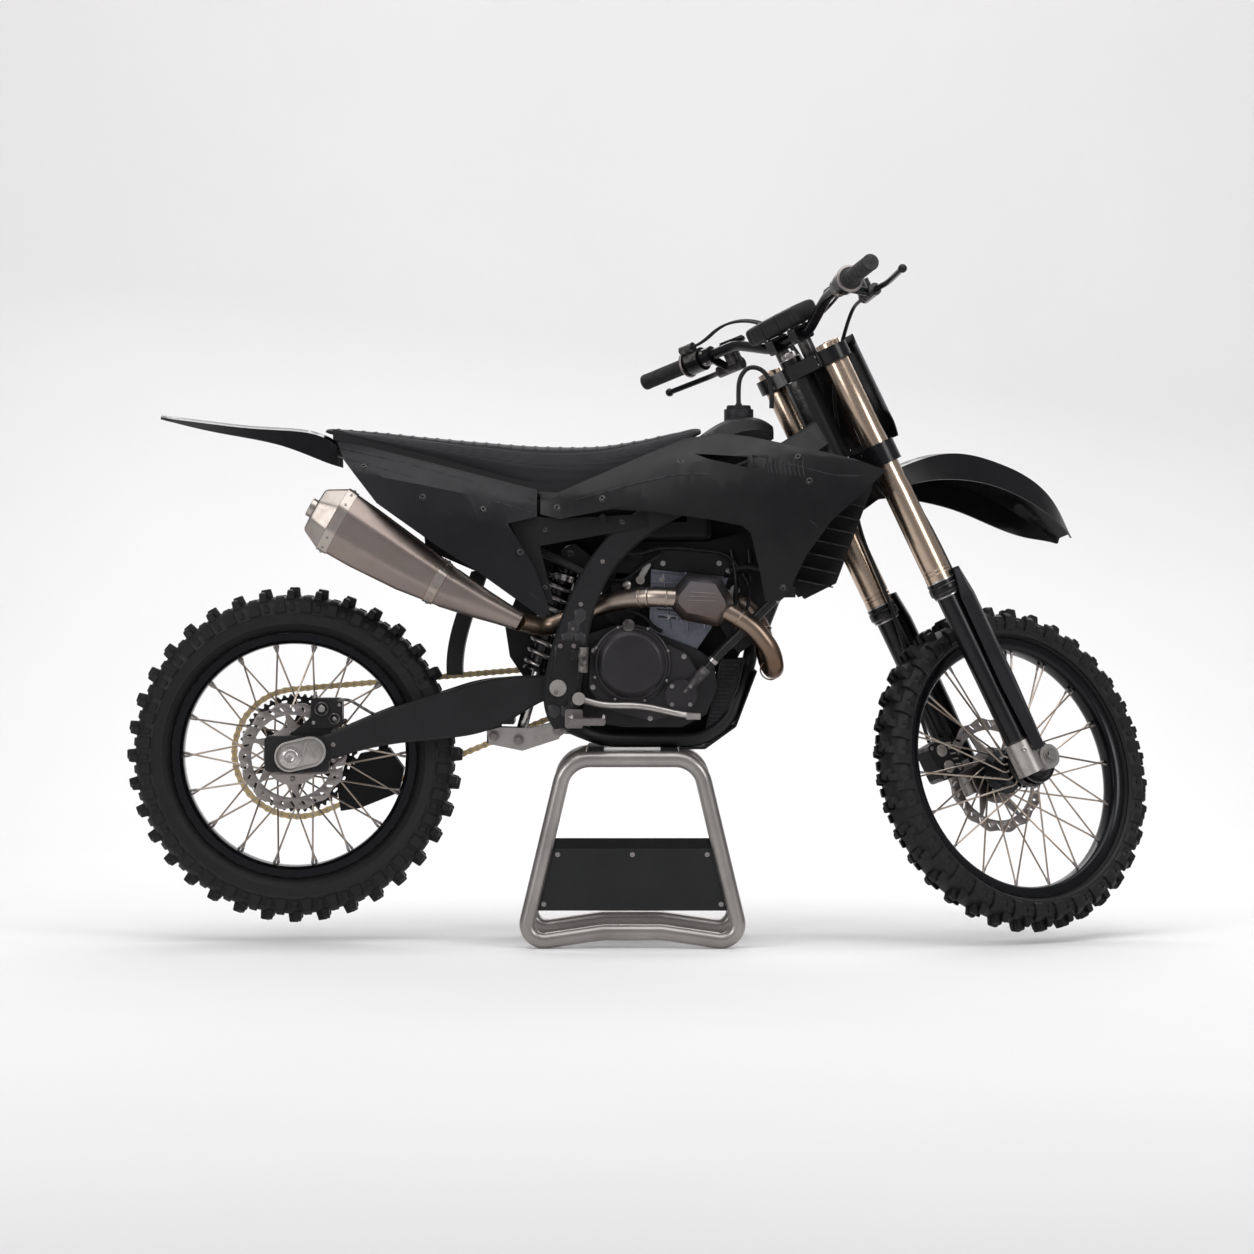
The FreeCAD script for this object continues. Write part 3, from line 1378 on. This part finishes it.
def grips():
    out = []
    for side in (-1, 1):
        end, way = bar_end_line(side)
        body = rod(end - way * 4, end + way * GRIP_LENGTH, GRIP_R)
        flange = rod(end + way * (GRIP_LENGTH - 6), end + way * GRIP_LENGTH, GRIP_R + 7)
        out.append(fused([body, flange]).cut(rod(end, end + way * 300, BAR_R + RUN_FIT)))
    return steered(group(out))


def throttle_housing():
    end, way = bar_end_line(-1)
    start = end + way * (GRIP_LENGTH + 1)
    body = rod(start, start + way * 34, 24)
    return steered(body.cut(rod(end, end + way * 300, BAR_R + RUN_FIT)))


LEVER_LEAD = {1: V(36, 0, -40), -1: V(66, 0, -36)}
LEVER_REACH = 160.0
PERCH_INSET = 44.0
CALIPER_TOP_Z = -820.0


def lever_set(side):
    """Perch, master cylinder and lever for one hand."""
    end, way = bar_end_line(side)
    start = end + way * (GRIP_LENGTH + PERCH_INSET)
    perch = rod(start, start + way * 24, 19)
    lead = LEVER_LEAD[side]
    body = rod(start + lead + way * 50, start + lead - way * 14, 13)
    bridge = rod(start + way * 12, start + way * 12 + lead, 9)
    reservoir = rod(start + lead + way * 34 + V(0, 0, 4), start + lead + way * 34 + V(0, 0, 32), 17)
    tip = start + lead + V(4, 0, 0) - way * LEVER_REACH
    blade = curved_pipe([start + lead - way * 6, start + lead + V(16, 0, -2) - way * 50, tip], 6)
    ball = Part.makeSphere(9, tip)
    body = fused([perch, body, bridge, reservoir, blade, ball])
    return steered(body.cut(rod(end, end + way * 300, BAR_R + RUN_FIT)))


def bar_clamps():
    """Caps that hold the bar on its posts."""
    caps = []
    for s in (-1, 1):
        cap = box(BAR_X - 22, BAR_X + 22, s * 40 - 13, s * 40 + 13, BAR_Z - BAR_R - 3.7, BAR_Z + BAR_R + 6)
        cap = cap.makeFillet(6, [e for e in cap.Edges if abs(e.tangentAt(0).y) > 0.9])
        caps.append(cap.cut(pipe(bar_points(), BAR_R + RUN_FIT, [90, 70, 70, 90])))
    return steered(group(caps))


def bar_pad():
    """Foam block over the middle of the bar."""
    pad = box(BAR_X - 34, BAR_X + 34, -88, 88, BAR_Z + BAR_R + 6.3, BAR_Z + BAR_R + 48)
    return steered(pad.makeFillet(10, pad.Edges))


PLATE_TOP_Z = 6.0
PLATE_LOW_Z = -222.0


def number_plate():
    line = [(78, -112), (103, -92), (122, -50), (127, 0), (122, 50), (103, 92), (78, 112)]
    outer = [V(x, y, PLATE_LOW_Z) for x, y in line]
    inner = [V(x - 3, y * 0.985, PLATE_LOW_Z) for x, y in line]
    curves = []
    for points in (outer, inner[::-1]):
        curve = Part.BSplineCurve()
        curve.interpolate(points)
        curves.append(curve.toShape())
    ends = [
        Part.LineSegment(outer[-1], inner[-1]).toShape(),
        Part.LineSegment(inner[0], outer[0]).toShape(),
    ]
    face = Part.Face(Part.Wire([curves[0], ends[0], curves[1], ends[1]]))
    body = face.extrude(V(0, 0, PLATE_TOP_Z - PLATE_LOW_Z))
    low, top = PLATE_LOW_Z, PLATE_TOP_Z
    half_outline = [(70, low), (112, low + 62), (112, top - 26), (88, top)]
    corners = [(60, -y, z) for y, z in half_outline] + [(60, y, z) for y, z in half_outline[::-1]]
    shape = Part.Face(section(corners)).extrude(V(100, 0, 0))
    body = body.common(shape)
    front = LEG_OFFSET + 12 + SEAT_GAP
    low = box(front, 125, -7, 7, LOWER_CLAMP_Z + 5, PLATE_LOW_Z + 14)
    high = box(front, 125, -7, 7, -UPPER_CLAMP_T + 2, -4)
    return steered(fused([body, low, high]))


def front_fender():
    """Arched strip over the wheel, in the steering frame."""
    stations = [(-50, 38, -330, -292), (20, 44, -322, -276), (110, 64, -326, -276), (220, 84, -362, -295),
                (326, 86, -424, -358), (390, 80, -480, -416), (440, 58, -536, -494), (466, 26, -574, -562)]
    wires = []
    for x, half, edge, top in stations:
        lean = 0.5 * max(0.0, (x - 110) / 350)
        def at(y, z):
            return V(x - (top - z) * lean, y, z)
        t = PLASTIC_T
        outer = [at(-half, edge), at(-0.9 * half, top - 8), at(-0.55 * half, top), at(0.55 * half, top),
                 at(0.9 * half, top - 8), at(half, edge)]
        inner = [at(half - t, edge), at(0.9 * half - t, top - 8 - t), at(0.55 * half, top - t),
                 at(-0.55 * half, top - t), at(-0.9 * half + t, top - 8 - t), at(-half + t, edge)]
        wires.append(section(outer + inner))
    low = LOWER_CLAMP_Z - LOWER_CLAMP_T / 2
    bosses = [rod((8, s * 24, -278), (8, s * 24, low - SEAT_GAP), 7) for s in (-1, 1)]
    return steered(fused([loft(wires)] + bosses))


def front_caliper():
    """Caliper behind the left leg, over the disc."""
    y0, y1 = FRONT_DISC_Y - 22, FRONT_DISC_Y + 24
    body = box(-78, -14, y0, y1, CALIPER_TOP_Z - 80, CALIPER_TOP_Z)
    body = body.makeFillet(10, [e for e in body.Edges if abs(e.tangentAt(0).y) > 0.9])
    body = body.cut(box(-70, 60, FRONT_DISC_Y - 7, FRONT_DISC_Y + 7, -1000, -700))
    lug = box(-30, 0, y1 - 3, LEG_HALF_SPACING - 8, -905, -860)
    body = body.fuse(lug).removeSplitter()
    leg_low, leg_high = V(LEG_OFFSET, LEG_HALF_SPACING, -1000), V(LEG_OFFSET, LEG_HALF_SPACING, -500)
    return steered(body.cut(rod(leg_low, leg_high, FOOT_R + RUN_FIT)))


def master_end(side):
    """Inner end of a hand lever's master cylinder, and the way its hose leaves."""
    end, way = bar_end_line(side)
    return end + way * (GRIP_LENGTH + PERCH_INSET + 50) + LEVER_LEAD[side], way


def brake_hose():
    """From the right-hand master cylinder down the left leg to the caliper."""
    start, way = master_end(-1)
    points = [
        start + way * SEAT_GAP, start + way * 26, (106, -124, 52), (100, -78, 18), (86, -28, -34),
        (76, 14, -88), (74, 44, -156), (66, 56, -232), (44, 64, -306), (24, 67, -380), (20, 67, -474), (12, 68, -568),
        (-8, 70, -660), (-32, 72, -740), (-44, 72, CALIPER_TOP_Z + 2 * SEAT_GAP),
    ]
    return steered(curved_pipe(points, HOSE_R))


def guard_line():
    """Thin line held along the front of the right leg, from the clamp down into the guard."""
    x, y = LEG_OFFSET, -LEG_HALF_SPACING
    points = [
        (x + 24, y + 24, LOWER_CLAMP_Z - LOWER_CLAMP_T / 2 - 1), (x + 25, y + 24, -300),
        (x + 38, y + 12, -350), (x + 42, y + 5, -430), (x + 42, y + 5, OUTER_TUBE_END_Z + 28 + SEAT_GAP),
    ]
    return steered(curved_pipe(points, HOSE_R))


def control_cables():
    """Two cables from the left-hand perch, over in a loop and in behind the number plate."""
    end, way = bar_end_line(1)
    start = end + way * (GRIP_LENGTH + PERCH_INSET)
    cables = []
    for side in (-1, 1):
        shift = way.cross(V(0, 0, 1)) * (5 * side)
        first = start + V(-12, 0, 31) + way * SEAT_GAP
        points = [
            first, first + way * 26, (26, 196, 142), (44, 150, 136),
            (60, 108, 112), (70, 78, 74), (74, 62, 30), (72, 56, -8),
        ]
        cables.append(curved_pipe([V(p) + shift for p in points], CABLE_R))
    return cables


def cable_housing():
    """Elbow on the left-hand perch that the cables leave from."""
    end, way = bar_end_line(1)
    start = end + way * (GRIP_LENGTH + PERCH_INSET)
    ring = rod(start - way * 36, start - way * 2, 25)
    body = rod(start + V(-12, 0, 31) - way * 34, start + V(-12, 0, 31) - way * SEAT_GAP, 10)
    return steered(fused([ring, body]).cut(rod(end, end + way * 300, BAR_R + RUN_FIT)))


def breather_hose():
    """From the tank cap in a loop down behind the head tube."""
    points = [
        (217, 0, 1094.3), (216, 0, 1124), (219, 0, 1152), (236, 0, 1173), (262, 0, 1170),
        (280, 0, 1149), (285, 0, 1119), (284, 0, 1088),
    ]
    return curved_pipe(points, 5)


def make_parts():
    rear_rim_r = REAR_TYRE_R - REAR_TYRE_DEPTH
    front_rim_r = FRONT_TYRE_R - FRONT_TYRE_DEPTH
    rear = {
        "rear_tyre": tyre(REAR_TYRE_R, REAR_TYRE_HALF_W, rear_rim_r, REAR_RIM_HALF_W),
        "rear_rim": rim(rear_rim_r, rear_rim_r - RIM_DEPTH, REAR_RIM_HALF_W),
        "rear_hub": hub(
            REAR_AXLE_R + RUN_FIT, HUB_BARREL_R + 8, HUB_FLANGE_R + 8, HUB_FLANGE_Y + 4, REAR_HUB_HALF),
        "rear_spokes": spokes(HUB_FLANGE_R + 8, HUB_FLANGE_Y + 4, rear_rim_r - RIM_DEPTH, 36),
        "rear_disc": brake_disc(REAR_DISC_R, REAR_DISC_R - 26, 56, 34, -REAR_HUB_HALF - DISC_T / 2),
        "rear_sprocket": rear_sprocket(),
    }
    front = {
        "front_tyre": tyre(FRONT_TYRE_R, FRONT_TYRE_HALF_W, front_rim_r, FRONT_RIM_HALF_W),
        "front_rim": rim(front_rim_r, front_rim_r - RIM_DEPTH, FRONT_RIM_HALF_W),
        "front_hub": hub(
            FRONT_AXLE_R + RUN_FIT, HUB_BARREL_R, HUB_FLANGE_R, HUB_FLANGE_Y, FRONT_HUB_HALF, HUB_GUARD_R),
        "front_spokes": spokes(HUB_FLANGE_R, HUB_FLANGE_Y, front_rim_r - RIM_DEPTH, 36),
        "front_disc": brake_disc(FRONT_DISC_R, FRONT_DISC_R - 26, 56, 26, FRONT_DISC_Y),
    }
    parts = {
        "stand_frame": group(stand_frame().Solids + [stand_tray()]),
        "stand_panels": stand_panels(),
        "stand_pads": stand_pads(),
        "main_frame": main_spars(),
        "cradle": cradle(),
        "subframe": subframe(),
        "engine_case": group([engine_case(), starter(), front_sprocket()]),
        "cylinder": cylinder(),
        "valve_cover": valve_cover(),
        "engine_covers": group([clutch_cover(), water_pump(), ignition_cover()]),
        "chain": chain(),
        "chain_guards": group([chain_guide(), sprocket_cover()]),
        "header": header(),
        "resonance_box": resonance_box(),
        "muffler": muffler(),
        "muffler_end_cap": muffler_end_cap(),
        "radiators": group([radiator(1), radiator(-1)]),
        "radiator_guards": group([radiator_guard(1), radiator_guard(-1)]),
        "shrouds": group([shroud_left(), mirrored(shroud_left())]),
        "side_panels": group([side_panel_left(), mirrored(side_panel_left())]),
        "airbox": group([airbox(), side_cover_left(), mirrored(side_cover_left())]),
        "fuel_tank": fuel_tank(),
        "fuel_cap": fuel_cap(),
        "seat": seat(),
        "rear_fender": rear_fender(),
        "swingarm": swingarm(),
        "linkage": group([linkage(), pivot_bolt()]),
        "rear_axle": group([rear_axle()] + axle_blocks().Solids),
        "shock": shock(),
        "rear_brake": group([rear_caliper()] + rear_master().Solids),
        "footpegs": group([footpeg_right(), mirrored(footpeg_right())]),
        "foot_levers": group([brake_pedal(), gear_lever()]),
        "skid_plate": skid_plate(),
        "breather_hose": breather_hose(),
        "fork_clamps": group([upper_clamp(), lower_clamp()] + bar_clamps().Solids),
        "outer_tubes": outer_tubes(),
        "stanchions": stanchions(),
        "fork_feet": fork_feet(),
        "front_axle": front_axle(),
        "fork_guards": fork_guards(),
        "handlebar": handlebar(),
        "grips": grips(),
        "hand_levers": group([lever_set(1), lever_set(-1), throttle_housing(), cable_housing()]),
        "bar_pad": bar_pad(),
        "number_plate": number_plate(),
        "front_fender": front_fender(),
        "front_caliper": front_caliper(),
        "brake_hose": group([brake_hose(), guard_line()]),
        "control_cables": steered(group(control_cables())),
    }
    parts.update({name: rear_placed(shape) for name, shape in rear.items()})
    parts.update({name: front_placed(shape) for name, shape in front.items()})
    return parts


def main():
    os.makedirs("parts", exist_ok=True)
    for name, shape in make_parts().items():
        shape.exportStep("parts/" + name + ".step")
        print(name, len(shape.Solids), shape.isValid(), round(shape.Volume / 1000, 1))


main()
